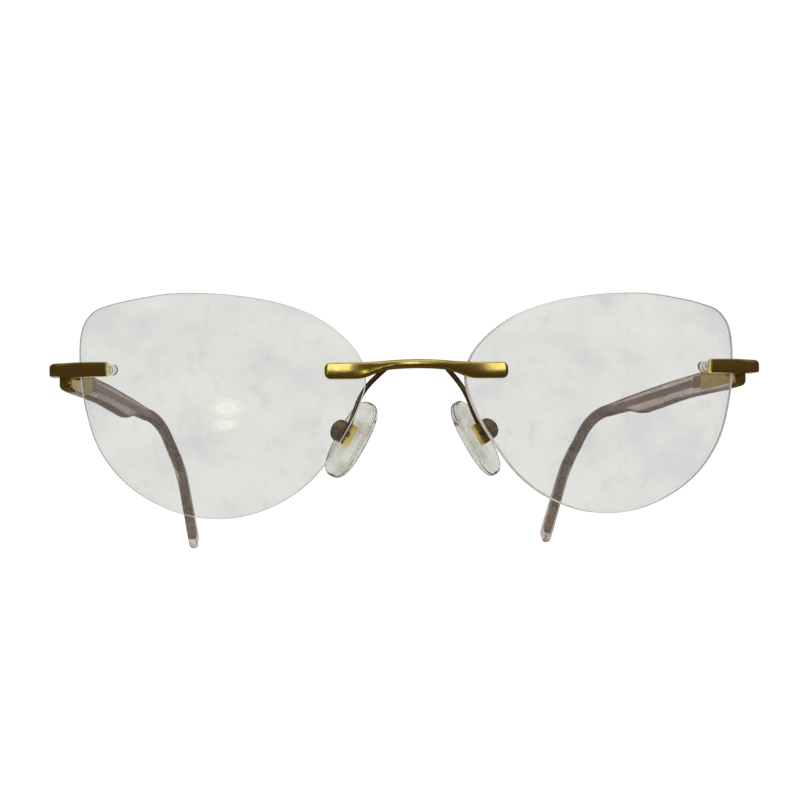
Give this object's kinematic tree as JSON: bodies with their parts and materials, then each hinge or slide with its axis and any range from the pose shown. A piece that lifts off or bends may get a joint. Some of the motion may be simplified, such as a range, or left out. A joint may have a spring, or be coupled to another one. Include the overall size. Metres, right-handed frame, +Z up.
{
  "type": "rimless eyeglasses",
  "caption": "Rimless eyeglasses: clear upswept lenses, satin gold bridge and endpieces, clear nose pads on wire arms and folding translucent acetate temples.",
  "frame": {"origin": "middle of the box that the open glasses fill, on the surface that they rest on", "axes": "+X to the wearer's left, +Y from the lenses back along the temples, +Z up; the glasses rest on the lower edges of the lenses and on the temple tips"},
  "size_m": [0.134, 0.1309, 0.0412],
  "materials": {
    "lens": "clear polished optical plastic, frosted fine-ground edge",
    "gold": "satin antique gold plating, darker along its lower edges",
    "bronze": "satin dark bronze wire",
    "clear_plastic": "clear moulded plastic",
    "silicone": "clear soft silicone, slightly yellowed",
    "pad_plate": "clear stiff plastic plate",
    "screw_steel": "turned dark steel",
    "core_metal": "dull drawn metal",
    "acetate": "translucent pinkish grey-brown acetate, polished"
  },
  "bodies": {
    "front": {"lens_left": "lens", "lens_right": "lens", "bridge": "gold", "sleeve_nasal_left": "clear_plastic", "sleeve_nasal_right": "clear_plastic", "sleeve_temporal_left": "clear_plastic", "sleeve_temporal_right": "clear_plastic", "pad_arm_left": "bronze", "pad_arm_right": "bronze", "pad_box_left": "gold", "pad_box_right": "gold", "pad_screw_left": "screw_steel", "pad_screw_right": "screw_steel", "endpiece_left": "gold", "endpiece_right": "gold", "hinge_leaf_left": "gold", "hinge_leaf_right": "gold", "hinge_screw_left": "screw_steel", "hinge_screw_right": "screw_steel"},
    "temple_arm_left": {"temple_spine_left": "gold", "temple_cap_left": "gold", "temple_pin_left": "screw_steel", "core_wire_left": "core_metal", "temple_left": "acetate"},
    "temple_arm_right": {"temple_spine_right": "gold", "temple_cap_right": "gold", "temple_pin_right": "screw_steel", "core_wire_right": "core_metal", "temple_right": "acetate"},
    "pad_left": {"nose_pad_left": "silicone", "pad_core_left": "pad_plate"},
    "pad_right": {"nose_pad_right": "silicone", "pad_core_right": "pad_plate"}
  },
  "joints": [
    {"name": "temple_left_fold", "type": "hinge", "parent": "front", "child": "temple_arm_left", "pos_m": [0.06205, -0.05131, 0.0273], "axis": [0, -0.0459, 0.9989], "range_deg": [0, 84]},
    {"name": "temple_right_fold", "type": "hinge", "parent": "front", "child": "temple_arm_right", "pos_m": [-0.06205, -0.05131, 0.0273], "axis": [0, 0.0459, -0.9989], "range_deg": [0, 79.5]},
    {"name": "pad_left_rock", "type": "hinge", "parent": "front", "child": "pad_left", "pos_m": [0.01318, -0.05623, 0.01572], "axis": [0.5385, 0.7549, 0.3744], "range_deg": [-8, 8]},
    {"name": "pad_right_rock", "type": "hinge", "parent": "front", "child": "pad_right", "pos_m": [-0.01318, -0.05623, 0.01572], "axis": [0.5385, -0.7549, -0.3744], "range_deg": [-8, 8]}
  ]
}
